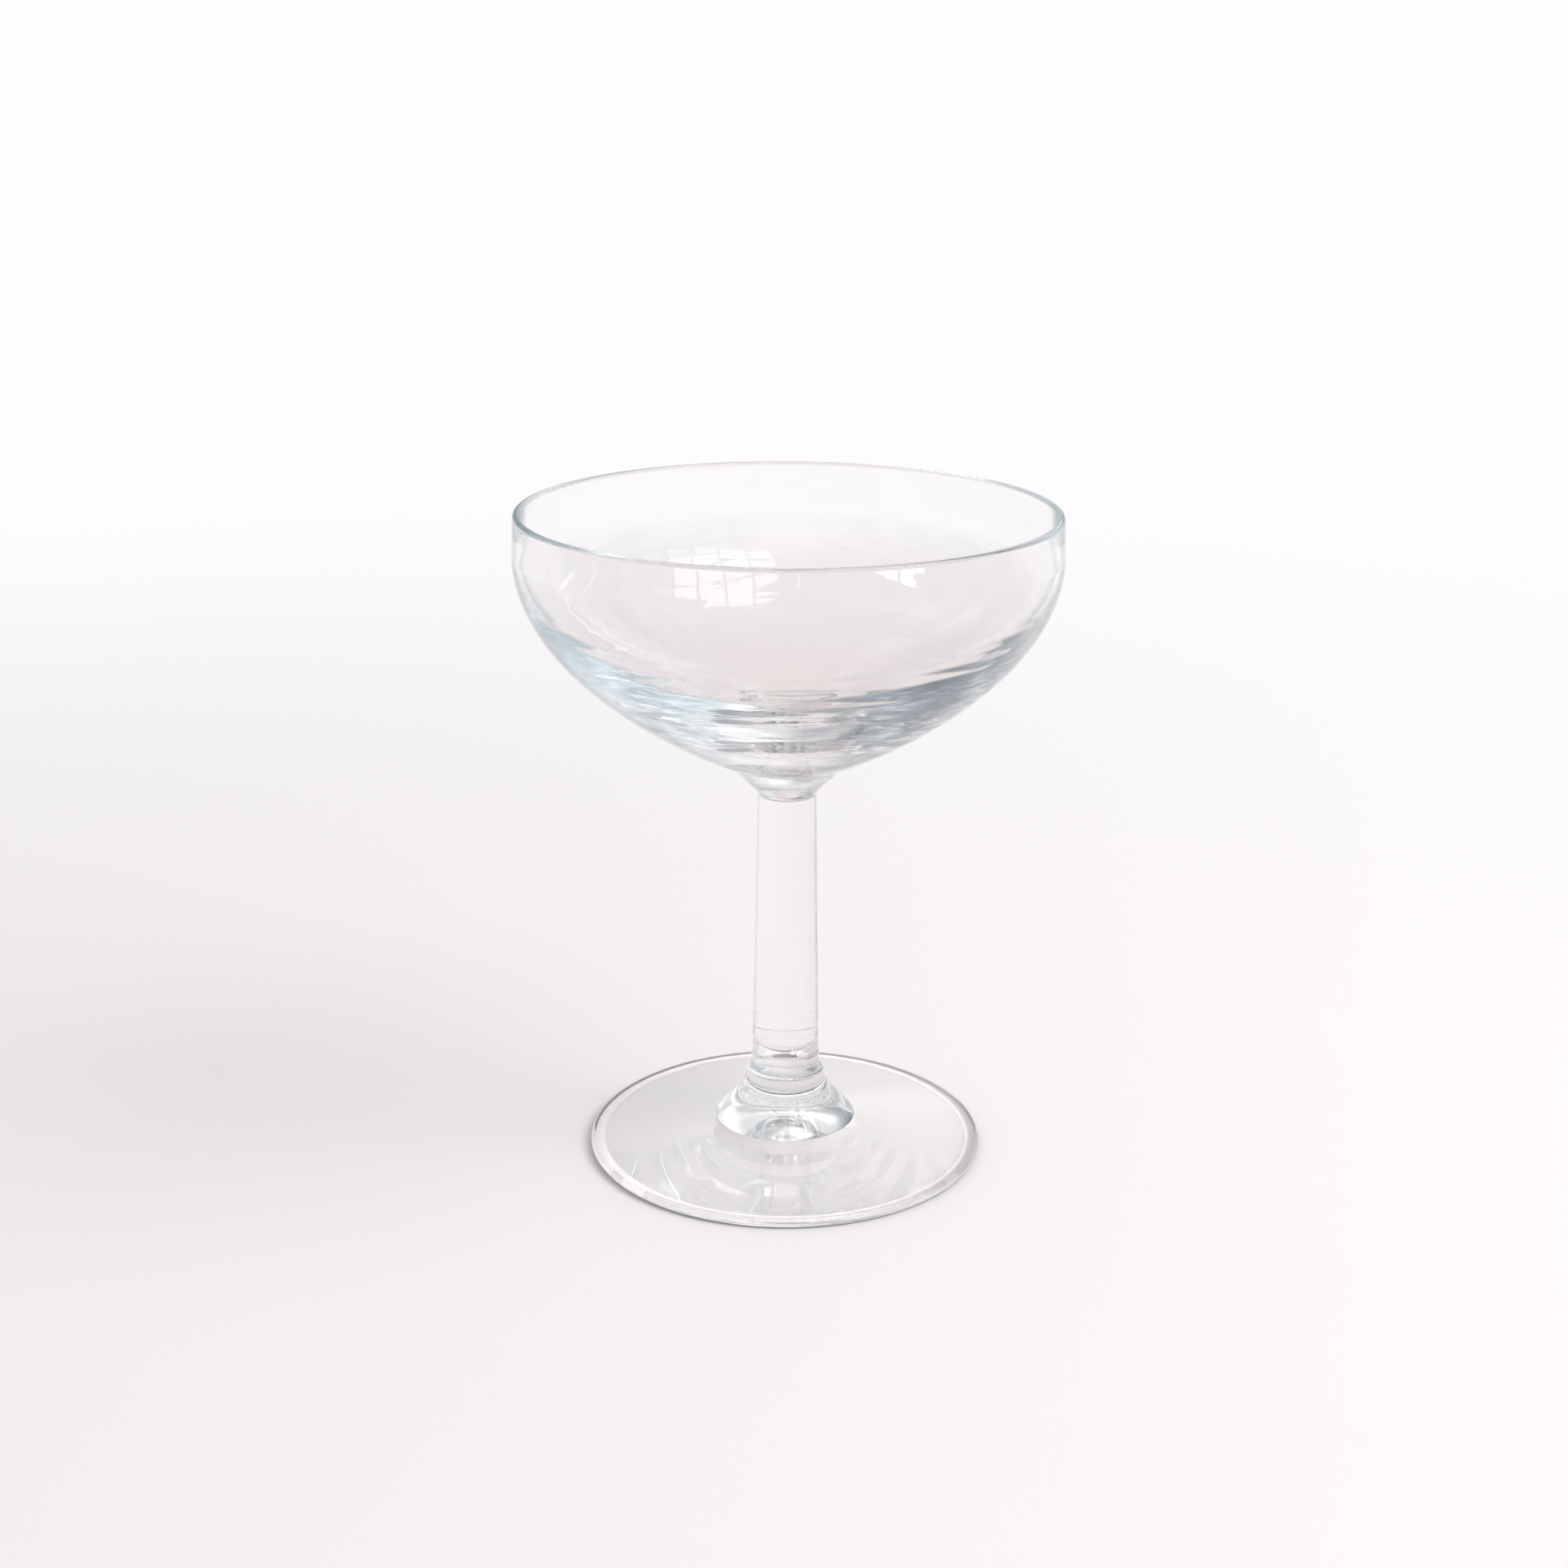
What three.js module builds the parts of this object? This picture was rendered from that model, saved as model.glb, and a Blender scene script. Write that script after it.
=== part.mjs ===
// Champagne coupe of clear glass, standing on its foot.
//
// Lengths are in millimetres and +Z is up. The origin is the centre of the foot's underside, on the
// surface that the glass stands on. The glass is built from gathers that are fused face to face
// along its axis, from the foot up: foot disc, foot boss, stem, collar and bowl. Each gather is a
// body of revolution, so each one is a half outline of radii and heights that is turned once round.

import * as THREE from "three";

// Length of each gather along the axis, from the foot up
const discHeight = 5.4;
const bossHeight = 15.7;
const stemHeight = 47.1;
const collarHeight = 5.8;
const bowlHeight = 46.0;

// Radii of the fused faces, each shared by the two gathers that meet there
const hubRadius = 12.9;
const weldRadius = 5.9;
const stemHeadRadius = 5.28;
const bowlSeatRadius = 10.5;

// Foot disc, with a dimple in its underside, below the hub
const footRadius = 36.4;
const footEdgeRadius = 0.95;
const restRingWidth = 1.8;
const undersideRise = 0.6;
const dimpleRadius = 13.0;
const dimpleCover = 1.3;
const discSag = 0.1;

// Foot boss: a flared hub, a rounded band on it and a stub
const hubHeight = 7.6;
const hubNeckRadius = 7.4;
const bandRadius = 7.3;
const bandHeight = 2.3;
const stubFootRadius = 6.35;

// The weld between stub and stem: both swell to this radius over this height
const weldLipRadius = 6.08;
const weldLipHeight = 0.6;

// Bowl
const bellyRadius = 48.15;
const rimRadius = 47.85;
const bellyDrop = 7.5;
const bellyWall = 1.25;
const rimWall = 1.5;
const floorThickness = 5.1;

// Fullness of the bowl's two outlines, as exponents of depth and radius
const outsideFullness = { depth: 2.0, radius: 0.93 };
const insideFullness = { depth: 2.0, radius: 0.715 };

// Handles of the two flares, as shares of each flare's own width and height
const hubHandleShares = [[0.12, 0.17], [1.0, 0.72]];
const collarHandleShares = [[0.0, 0.12], [0.06, 0.14]];

// Fineness of the turned bodies
const stepsAround = 64;
const bowlSteps = 16;
const undersideSteps = 14;
const flareSteps = 7;
const roundSteps = 6;
const sweepSteps = 4;

// Heights of the fused faces
const hubBase = discHeight;
const weldLevel = hubBase + bossHeight;
const collarBase = weldLevel + stemHeight;
const bowlBase = collarBase + collarHeight;
const rimLevel = bowlBase + bowlHeight;

/** Clear glass, which takes a deeper cast where a gather is thicker. */
function clearGlass(colour, roughness) {
  return new THREE.MeshStandardMaterial({ color: colour, roughness, metalness: 0, transparent: true, opacity: 0.35 });
}

/** One gather: its half outline, which runs upwards from axis to axis, turned once round +Z. */
function turnedGather(name, outline, material) {
  const geometry = new THREE.LatheGeometry(outline, stepsAround);
  geometry.rotateX(Math.PI / 2);
  const gather = new THREE.Mesh(geometry, material);
  gather.name = name;
  return gather;
}

/** A point of a half outline. */
function at(radius, height) {
  return new THREE.Vector2(radius, height);
}

/** Points of an arc of an ellipse in the outline's plane, with both of its ends. */
function arc(centre, halfWidth, halfHeight, fromAngle, toAngle, steps) {
  const clockwise = toAngle < fromAngle;
  return new THREE.EllipseCurve(centre.x, centre.y, halfWidth, halfHeight, fromAngle, toAngle, clockwise)
    .getPoints(steps);
}

/** Points of a flare, whose two handles are given as shares of its width and height. */
function flare(start, end, handleShares) {
  const [first, second] = handleShares.map(([widthShare, heightShare]) => at(
    THREE.MathUtils.lerp(start.x, end.x, widthShare),
    THREE.MathUtils.lerp(start.y, end.y, heightShare),
  ));
  return new THREE.CubicBezierCurve(start, first, second, end).getPoints(flareSteps);
}

/**
 * Points of one side of the bowl, from its deepest point up to its widest. The steps are close
 * together where the side turns fastest, at the belly and at the seat.
 */
function bowlSide(deepPoint, widePoint, fullness) {
  const points = [];
  for (let step = 0; step <= bowlSteps; step += 1) {
    const turn = (step / bowlSteps) * (Math.PI / 2);
    const depthShare = Math.cos(turn) ** (2 / fullness.depth);
    const radiusShare = (1 - depthShare ** fullness.depth) ** fullness.radius;
    points.push(at(
      THREE.MathUtils.lerp(deepPoint.x, widePoint.x, radiusShare),
      THREE.MathUtils.lerp(widePoint.y, deepPoint.y, depthShare),
    ));
  }
  return points;
}

/** Height at a radius of a soft dome that meets its base level without a crease. */
function domeHeight(radius, baseRadius, rise) {
  return rise * Math.max(0, 1 - (radius / baseRadius) ** 2) ** 2;
}

/** Points of the foot's underside, from the axis out: a broad, faint hollow and a dimple in it. */
function underside(ringInnerRadius) {
  const dimpleRise = hubBase - dimpleCover - undersideRise;
  const points = [];
  for (let step = 0; step <= undersideSteps; step += 1) {
    const radius = ringInnerRadius * (step / undersideSteps);
    const height = domeHeight(radius, ringInnerRadius, undersideRise) + domeHeight(radius, dimpleRadius, dimpleRise);
    points.push(at(radius, height));
  }
  return points;
}

/** Round foot: a hollow underside, a flat ring to stand on, a thin round edge and a shallow cone. */
function footDisc() {
  const ringOuterRadius = footRadius - footEdgeRadius;
  const edgeCentre = at(ringOuterRadius, footEdgeRadius);
  const edge = arc(edgeCentre, footEdgeRadius, footEdgeRadius, -Math.PI / 2, Math.PI / 2, roundSteps);
  const coneFoot = edge[edge.length - 1];
  const coneHead = at(hubRadius, hubBase);
  const coneMiddle = coneFoot.clone().lerp(coneHead, 0.5).sub(at(0, discSag));
  const cone = new THREE.QuadraticBezierCurve(coneFoot, coneMiddle, coneHead).getPoints(sweepSteps);
  const outline = [...underside(ringOuterRadius - restRingWidth), ...edge, ...cone.slice(1), at(0, hubBase)];
  return turnedGather("foot_disc", outline, clearGlass(0xdfe8e8, 0.05));
}

/** Pressed boss: the hub narrows upwards from the disc, and a rounded band and a stub stand on it. */
function footBoss() {
  const bandBase = hubBase + hubHeight;
  const hub = flare(at(hubRadius, hubBase), at(hubNeckRadius, bandBase), hubHandleShares);
  const band = arc(at(stubFootRadius, bandBase), bandRadius - stubFootRadius, bandHeight, 0, Math.PI / 2, sweepSteps);
  const stubHead = [at(weldLipRadius, weldLevel - weldLipHeight), at(weldRadius, weldLevel)];
  const outline = [at(0, hubBase), ...hub, ...band, ...stubHead, at(0, weldLevel)];
  return turnedGather("foot_boss", outline, clearGlass(0xd9e4e6, 0.06));
}

/** Solid stem that tapers upwards from the weld. */
function stem() {
  const outline = [
    at(0, weldLevel),
    at(weldRadius, weldLevel),
    at(weldLipRadius, weldLevel + weldLipHeight),
    at(stemHeadRadius, collarBase),
    at(0, collarBase),
  ];
  return turnedGather("stem", outline, clearGlass(0xe4eaea, 0.04));
}

/** Collar: the wafer that flares from the stem's head to the bowl's seat. */
function collar() {
  const side = flare(at(stemHeadRadius, collarBase), at(bowlSeatRadius, bowlBase), collarHandleShares);
  return turnedGather("collar", [at(0, collarBase), ...side, at(0, bowlBase)], clearGlass(0xdde7ea, 0.05));
}

/** Bowl: heavy in its lower half, thin at the belly, drawn in a little to a fully rounded rim. */
function bowl() {
  const bellyLevel = rimLevel - bellyDrop;
  const seat = at(bowlSeatRadius, bowlBase);
  const floor = at(0, bowlBase + floorThickness);
  const outside = bowlSide(seat, at(bellyRadius, bellyLevel), outsideFullness);
  const inside = bowlSide(floor, at(bellyRadius - bellyWall, bellyLevel), insideFullness);
  const rimCentre = at(rimRadius - rimWall / 2, rimLevel - rimWall / 2);
  const rim = arc(rimCentre, rimWall / 2, rimWall / 2, 0, Math.PI, roundSteps);
  const outline = [at(0, bowlBase), ...outside, ...rim, ...inside.reverse()];
  return turnedGather("bowl", outline, clearGlass(0xe2ecee, 0.03));
}

const coupe = new THREE.Group();
coupe.add(footDisc(), footBoss(), stem(), collar(), bowl());

export default coupe;
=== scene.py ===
"""Champagne coupe of clear soda-lime glass, fused from five gathers, standing in a pale studio.

Sizes are in millimetres, as on a glassmaker's drawing, and become metres where a mesh or a lamp is made.
+Z is up, and the origin is the centre of the foot's underside, as in the frame. Each gather is turned from a
half outline, and then carries the marks that its making left: ripples in the heavy base of the bowl, draw
lines on the stem and a mould seam on the boss. The gathers meet at fused faces, which show nothing, so that
light passes them as one body of glass.
"""

from __future__ import annotations

import logging
import math
from collections.abc import Iterable
from dataclasses import dataclass, field
from enum import Enum
from typing import NamedTuple

import bpy
from mathutils import Matrix, Quaternion, Vector, noise


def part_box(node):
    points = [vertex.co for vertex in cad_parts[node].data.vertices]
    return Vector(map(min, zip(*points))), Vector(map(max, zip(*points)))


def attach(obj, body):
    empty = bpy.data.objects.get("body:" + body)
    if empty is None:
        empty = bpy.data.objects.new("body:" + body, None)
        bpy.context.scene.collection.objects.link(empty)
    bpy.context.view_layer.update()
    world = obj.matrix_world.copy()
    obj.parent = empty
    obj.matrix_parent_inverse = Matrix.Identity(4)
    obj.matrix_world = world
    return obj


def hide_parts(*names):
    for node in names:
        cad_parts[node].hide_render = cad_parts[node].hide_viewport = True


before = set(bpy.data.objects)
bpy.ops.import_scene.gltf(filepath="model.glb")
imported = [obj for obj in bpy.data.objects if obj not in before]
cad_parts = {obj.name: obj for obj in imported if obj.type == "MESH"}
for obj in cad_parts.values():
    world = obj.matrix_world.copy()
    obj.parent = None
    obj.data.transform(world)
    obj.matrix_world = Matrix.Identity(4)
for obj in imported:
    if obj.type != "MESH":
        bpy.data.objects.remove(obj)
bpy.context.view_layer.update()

MM = 0.001
# A length under this, in millimetres, counts as none
TINY = 1e-6
LOG = logging.getLogger("coupe")

Colour = tuple[float, float, float]
Handles = tuple[tuple[float, float], tuple[float, float]]


class Spot(NamedTuple):
    """A point of a half outline."""

    radius: float
    height: float


class Side(Enum):
    """Which surface of a gather a stretch of its outline makes. The last three are marked on the mesh."""

    OUTSIDE = "outside"
    INSIDE = "inside"
    UNDERSIDE = "underside"
    EDGE = "edge"
    REST = "rest"
    FUSED = "fused"


class Run(Enum):
    """Which way the fine marks in a surface run."""

    ROUND = "round"
    ALONG = "along"
    LEVEL = "level"


class Ramp(Enum):
    """How a mapped value runs from one end of its range to the other."""

    STRAIGHT = "LINEAR"
    SOFT = "SMOOTHSTEP"


def opaque(colour: Colour) -> tuple[float, float, float, float]:
    """Return a colour with full alpha, as sockets take it."""
    return (*colour, 1.0)


def grey(level: float) -> Colour:
    """Return the neutral colour of a level."""
    return (level, level, level)


def lerp(start: float, end: float, share: float) -> float:
    """Return the number at a share of the way from start to end."""
    return start + (end - start) * share


def smooth_step(value: float, low: float, high: float) -> float:
    """Return 0 below low, 1 above high and a soft ramp between them."""
    share = min(1.0, max(0.0, (value - low) / (high - low)))
    return share * share * (3 - 2 * share)


def presence(height: float, lowest: float, highest: float, fade: float) -> float:
    """Return how much there is at a height of a mark that comes in and dies out over the fade."""
    share = smooth_step(height, lowest, lowest + fade)
    return share * (1 - smooth_step(height, highest - fade, highest))


@dataclass
class Outline:
    """Half outline of a turned gather, drawn upwards from its lowest point on the axis to its highest.

    Attributes:
        spots: The points so far.
        sides: The surface that each stretch between two points makes.
    """

    spots: list[Spot]
    sides: list[Side] = field(default_factory=list)

    def follow(self, spots: Iterable[Spot], side: Side) -> Outline:
        """Add points to the outline.

        Args:
            spots: The points, in order. One that repeats the last point is left out.
            side: The surface that they make.

        Returns:
            The outline itself, so that calls can be chained.
        """
        for spot in spots:
            last = self.spots[-1]
            if math.hypot(spot.radius - last.radius, spot.height - last.height) < TINY:
                continue
            self.spots.append(spot)
            self.sides.append(side)
        return self

    def line(self, radius: float, height: float, side: Side, steps: int = 1) -> Outline:
        """Add a straight stretch.

        Args:
            radius: Radius of its end.
            height: Height of its end.
            side: The surface that it makes.
            steps: How many equal pieces it is cut into.

        Returns:
            The outline itself.
        """
        start = self.spots[-1]
        shares = [step / steps for step in range(1, steps + 1)]
        return self.follow((between(start, Spot(radius, height), share) for share in shares), side)


def between(start: Spot, end: Spot, share: float) -> Spot:
    """Return the point at a share of the way from start to end."""
    return Spot(lerp(start.radius, end.radius, share), lerp(start.height, end.height, share))


def arc(
    centre: Spot, half_width: float, half_height: float, turn: tuple[float, float], steps: int
) -> list[Spot]:
    """Return points of an arc of an ellipse, with both of its ends.

    Args:
        centre: Centre of the ellipse.
        half_width: Its half axis along the radius.
        half_height: Its half axis along the height.
        turn: First and last angle, in degrees from outwards towards up.
        steps: How many pieces the arc is cut into.

    Returns:
        The points in order.
    """
    first, last = (math.radians(angle) for angle in turn)
    angles = [first + (last - first) * step / steps for step in range(steps + 1)]
    return [
        Spot(centre.radius + half_width * math.cos(angle), centre.height + half_height * math.sin(angle))
        for angle in angles
    ]


def curve(corners: list[Spot], steps: int) -> list[Spot]:
    """Return points of a smooth curve that runs from its first corner to its last.

    Args:
        corners: Its corners. The curve leaves and reaches its ends along the lines to their neighbours.
        steps: How many pieces it is cut into.

    Returns:
        The points in order, with both ends.
    """
    spots = []
    for step in range(steps + 1):
        row = corners
        while len(row) > 1:
            row = [between(a, b, step / steps) for a, b in zip(row, row[1:])]
        spots.append(row[0])
    return spots


def flare(start: Spot, end: Spot, handles: Handles, steps: int) -> list[Spot]:
    """Return points of a flare, a curve whose two handles are shares of its own width and height.

    Args:
        start: First point.
        end: Last point.
        handles: For each handle, its share of the width and of the height.
        steps: How many pieces the flare is cut into.

    Returns:
        The points in order, with both ends.
    """
    corners = [
        Spot(lerp(start.radius, end.radius, across), lerp(start.height, end.height, up))
        for across, up in handles
    ]
    return curve([start, *corners, end], steps)


def bowl_side(deep: Spot, wide: Spot, depth_power: float, radius_power: float, steps: int) -> list[Spot]:
    """Return points of one side of the bowl, from its deepest point up to its widest.

    Args:
        deep: Deepest point.
        wide: Widest point.
        depth_power: Exponent of the depth. 2 gives an ellipse.
        radius_power: Exponent of the radius. Above 0.5 the base comes to a blunt point.
        steps: How many pieces the side is cut into. They are closer where the side turns fastest.

    Returns:
        The points in order, with both ends.
    """
    spots = []
    for step in range(steps + 1):
        turn = step / steps * math.pi / 2
        depth_share = max(0.0, math.cos(turn)) ** (2 / depth_power)
        radius_share = (1 - depth_share**depth_power) ** radius_power
        radius = lerp(deep.radius, wide.radius, radius_share)
        spots.append(Spot(radius, lerp(wide.height, deep.height, depth_share)))
    return spots


def weld_lip(weld: Spot, lip: Spot, steps: int = 12) -> list[Spot]:
    """Return points of one wall of the fine groove at a weld, steep at the weld and level with the lip.

    Args:
        weld: The deepest point of the groove.
        lip: Where the wall ends.
        steps: How many pieces the wall is cut into.

    Returns:
        The points in order, with both ends.
    """
    spots = []
    for step in range(steps + 1):
        share = step / steps
        left = (1 - share) ** 4
        spots.append(Spot(lerp(lip.radius, weld.radius, left), lerp(weld.height, lip.height, share)))
    return spots


def dome_height(radius: float, base_radius: float, rise: float) -> float:
    """Return the height at a radius of a soft dome that meets its base level without a crease."""
    return rise * max(0.0, 1 - (radius / base_radius) ** 2) ** 2


@dataclass(frozen=True)
class Ripples:
    """Soft unevenness of a surface that cooled while it was worked.

    Attributes:
        side: The surface that it lies on.
        height: How far the surface swells and sinks.
        length: Length of a ripple level with the table.
        pitch: Width of a ripple along the outline.
        lowest: Below this height the surface is true.
        highest: Above this height the surface is true.
        fade: Over what height the ripples come in at either end.
        seed: Where in the noise this surface lies.
    """

    side: Side
    height: float
    length: float
    pitch: float
    lowest: float
    highest: float
    fade: float
    seed: float

    def swell(self, angle: float, spot: Spot) -> float:
        """Return how far the surface stands out at an angle round the axis and a point of the outline."""
        share = presence(spot.height, self.lowest, self.highest, self.fade)
        place = Vector(
            (
                spot.radius * math.cos(angle) / self.length + self.seed,
                spot.radius * math.sin(angle) / self.length,
                (spot.height + spot.radius) / self.pitch,
            )
        )
        return self.height * share * noise.noise(place)


@dataclass(frozen=True)
class MouldSeam:
    """Fine raised line where the halves of a mould met.

    Attributes:
        side: The surface that it lies on.
        height: How far it stands out.
        half_width: From its crest to where it has nearly gone.
        angle: Where it lies round the axis, in degrees from +X towards +Y. A second seam lies opposite.
        lowest: Where it starts.
        highest: Where it ends.
        fade: Over what height it dies out.
    """

    side: Side
    height: float
    half_width: float
    angle: float
    lowest: float
    highest: float
    fade: float

    def swell(self, angle: float, spot: Spot) -> float:
        """Return how far the surface stands out at an angle round the axis and a point of the outline."""
        share = presence(spot.height, self.lowest, self.highest, self.fade)
        turn = math.remainder(angle - math.radians(self.angle), math.pi)
        away = turn * spot.radius / self.half_width
        return self.height * share * math.exp(-away * away)


@dataclass(frozen=True)
class WeldRing:
    """Fine ring where hot glass was set on glass.

    Attributes:
        side: The surface that it lies on.
        height: How far it stands out. Below 0 it is a groove.
        half_width: From its crest to where it has nearly gone.
        level: Height of its crest.
    """

    side: Side
    height: float
    half_width: float
    level: float

    def swell(self, _angle: float, spot: Spot) -> float:
        """Return how far the surface stands out at a point of the outline, alike all round."""
        away = (spot.height - self.level) / self.half_width
        return self.height * math.exp(-away * away)


Relief = Ripples | MouldSeam | WeldRing
Term = bpy.types.NodeSocket | float | Colour


@dataclass
class TurnedGather:
    """One gather of glass: a closed mesh, turned from its outline.

    Attributes:
        name: The piece's name, which is its CAD node's name too.
        outline: Its half outline.
        segments: How many steps once round.
        reliefs: The marks of its making.
        crease: Edges that turn by more than this angle, in degrees, are sharp.
    """

    name: str
    outline: Outline
    segments: int
    reliefs: tuple[Relief, ...] = ()
    crease: float = 24.0

    def build(self) -> bpy.types.Object:
        """Turn the outline into a mesh.

        Returns:
            The piece, at the origin. Its edges, its resting ring and its fused faces are marked on the mesh.
        """
        spots, sides = self.outline.spots, self.outline.sides
        verts: list[tuple[float, float, float]] = []
        rings: list[list[int]] = []
        for index, spot in enumerate(spots):
            count = self.segments if spot.radius > TINY else 1
            rings.append(list(range(len(verts), len(verts) + count)))
            verts += [self._place(index, step) for step in range(count)]
        faces: list[tuple[int, ...]] = []
        made_as: list[Side] = []
        for lower, upper, side in zip(rings, rings[1:], sides):
            made = list(self._band(lower, upper))
            faces += made
            made_as += [side] * len(made)
        mesh = bpy.data.meshes.new(self.name)
        mesh.from_pydata(verts, [], faces)
        for marked in (Side.EDGE, Side.REST, Side.FUSED):
            shares = [float(side is marked) for side in made_as]
            mesh.attributes.new(marked.value, "FLOAT", "FACE").data.foreach_set("value", shares)
        mesh.polygons.foreach_set("use_smooth", [True] * len(faces))
        mesh.set_sharp_from_angle(angle=math.radians(self.crease))
        mesh.update()
        piece = bpy.data.objects.new(self.name, mesh)
        bpy.context.scene.collection.objects.link(piece)
        return piece

    def _place(self, index: int, step: int) -> tuple[float, float, float]:
        """Return where a vertex lies, in metres, with the marks of the making added."""
        spots, sides = self.outline.spots, self.outline.sides
        spot = spots[index]
        angle = step / self.segments * math.tau
        before, after = spots[max(index - 1, 0)], spots[min(index + 1, len(spots) - 1)]
        across, up = after.radius - before.radius, after.height - before.height
        length = math.hypot(across, up) or 1.0
        near = {sides[max(index - 1, 0)], sides[min(index, len(sides) - 1)]}
        swell = 0.0
        if Side.FUSED not in near:
            swell = sum(relief.swell(angle, spot) for relief in self.reliefs if relief.side in near)
        radius = spot.radius + swell * up / length if spot.radius > TINY else 0.0
        height = spot.height - swell * across / length
        return (radius * math.cos(angle) * MM, radius * math.sin(angle) * MM, height * MM)

    def _band(self, lower: list[int], upper: list[int]) -> Iterable[tuple[int, ...]]:
        """Yield the faces between two rings, each facing out."""
        for step in range(self.segments):
            following = (step + 1) % self.segments
            if len(lower) == 1:
                yield (lower[0], upper[following], upper[step])
            elif len(upper) == 1:
                yield (lower[step], lower[following], upper[0])
            else:
                yield (lower[step], lower[following], upper[following], upper[step])


class Nodes:
    """A node tree, with short ways to add nodes and to join them."""

    def __init__(self, tree: bpy.types.NodeTree, output: str) -> None:
        """Start a tree that has only its output.

        Args:
            tree: The tree, which is emptied.
            output: The type of its output node.
        """
        self.tree = tree
        tree.nodes.clear()
        self.output = self.add(output)

    def add(self, kind: str, **settings: object) -> bpy.types.Node:
        """Add a node.

        Args:
            kind: The node's type.
            **settings: Its own properties, such as an operation.

        Returns:
            The new node.
        """
        node = self.tree.nodes.new(kind)
        for name, value in settings.items():
            setattr(node, name, value)
        return node

    def join(self, source: bpy.types.NodeSocket, target: bpy.types.NodeSocket) -> None:
        """Link an output to an input."""
        self.tree.links.new(source, target)

    def noise_at(
        self, place: bpy.types.NodeSocket, pitches: Colour, detail: float = 2.0, warp: float = 0.0
    ) -> bpy.types.NodeSocket:
        """Add a noise pattern whose grain has its own length along each axis.

        Args:
            place: The place to read it at.
            pitches: Length of the grain along X, Y and Z.
            detail: How many finer layers it has.
            warp: How far the pattern is drawn out of true.

        Returns:
            A socket with the pattern, from 0 to 1.
        """
        stretch = self.add("ShaderNodeMapping")
        stretch.inputs["Scale"].default_value = [1 / pitch for pitch in pitches]
        self.join(place, stretch.inputs["Vector"])
        pattern = self.add("ShaderNodeTexNoise")
        pattern.inputs["Scale"].default_value = 1.0
        pattern.inputs["Detail"].default_value = detail
        pattern.inputs["Distortion"].default_value = warp
        self.join(stretch.outputs["Vector"], pattern.inputs["Vector"])
        return pattern.outputs["Fac"]

    def ranged(
        self,
        value: bpy.types.NodeSocket,
        source: tuple[float, float],
        target: tuple[float, float],
        shape: Ramp = Ramp.STRAIGHT,
    ) -> bpy.types.NodeSocket:
        """Map a value from one range to another, held at both ends.

        Args:
            value: The value to map.
            source: The range that it is read in.
            target: The range that it is given in.
            shape: How it runs from one end to the other.

        Returns:
            A socket with the mapped value.
        """
        ramp = self.add("ShaderNodeMapRange", interpolation_type=shape.value)
        ramp.inputs["From Min"].default_value, ramp.inputs["From Max"].default_value = source
        ramp.inputs["To Min"].default_value, ramp.inputs["To Max"].default_value = target
        self.join(value, ramp.inputs["Value"])
        return ramp.outputs["Result"]

    def worked(self, kind: str, operation: str, *terms: Term) -> bpy.types.Node:
        """Add a node that works something out.

        Args:
            kind: The node's type.
            operation: What it does with its terms.
            *terms: Sockets, or fixed numbers or places.

        Returns:
            The new node.
        """
        node = self.add(kind, operation=operation)
        for term, target in zip(terms, node.inputs):
            if isinstance(term, bpy.types.NodeSocket):
                self.join(term, target)
            else:
                target.default_value = term
        return node

    def number(self, operation: str, *terms: Term) -> bpy.types.NodeSocket:
        """Return a socket with what an operation makes of numbers."""
        return self.worked("ShaderNodeMath", operation, *terms).outputs["Value"]

    def length(self, operation: str, *terms: Term) -> bpy.types.NodeSocket:
        """Return a socket with the number that an operation makes of places or directions."""
        return self.worked("ShaderNodeVectorMath", operation, *terms).outputs["Value"]

    def split(self, place: bpy.types.NodeSocket) -> bpy.types.bpy_prop_collection:
        """Return sockets with the X, Y and Z of a place."""
        parts = self.add("ShaderNodeSeparateXYZ")
        self.join(place, parts.inputs["Vector"])
        return parts.outputs

    def blended(
        self, share: bpy.types.NodeSocket, first: Colour | bpy.types.NodeSocket, second: Colour
    ) -> bpy.types.NodeSocket:
        """Blend two colours.

        Args:
            share: How much of the second colour there is.
            first: The first colour, or a socket with it.
            second: The second colour.

        Returns:
            A socket with the blend.
        """
        mix = self.add("ShaderNodeMix", data_type="RGBA")
        if isinstance(first, bpy.types.NodeSocket):
            self.join(first, mix.inputs["A"])
        else:
            mix.inputs["A"].default_value = opaque(first)
        mix.inputs["B"].default_value = opaque(second)
        self.join(share, mix.inputs["Factor"])
        return mix.outputs["Result"]

    def mixed(
        self, share: bpy.types.NodeSocket, first: bpy.types.NodeSocket, second: bpy.types.NodeSocket
    ) -> bpy.types.NodeSocket:
        """Return a socket with two shaders mixed, where the share is that of the second."""
        mix = self.add("ShaderNodeMixShader")
        for source, target in zip((share, first, second), mix.inputs):
            self.join(source, target)
        return mix.outputs["Shader"]

    def chosen(
        self, rays: tuple[str, ...], usual: bpy.types.NodeSocket, other: bpy.types.NodeSocket
    ) -> bpy.types.NodeSocket:
        """Show one shader to some kinds of ray and another to the rest.

        Args:
            rays: Outputs of the light path that name those kinds.
            usual: The shader for the rest.
            other: The shader for those kinds.

        Returns:
            A socket with the shader.
        """
        path = self.add("ShaderNodeLightPath")
        shown = usual
        for kind in rays:
            shown = self.mixed(path.outputs[kind], shown, other)
        return shown


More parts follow.
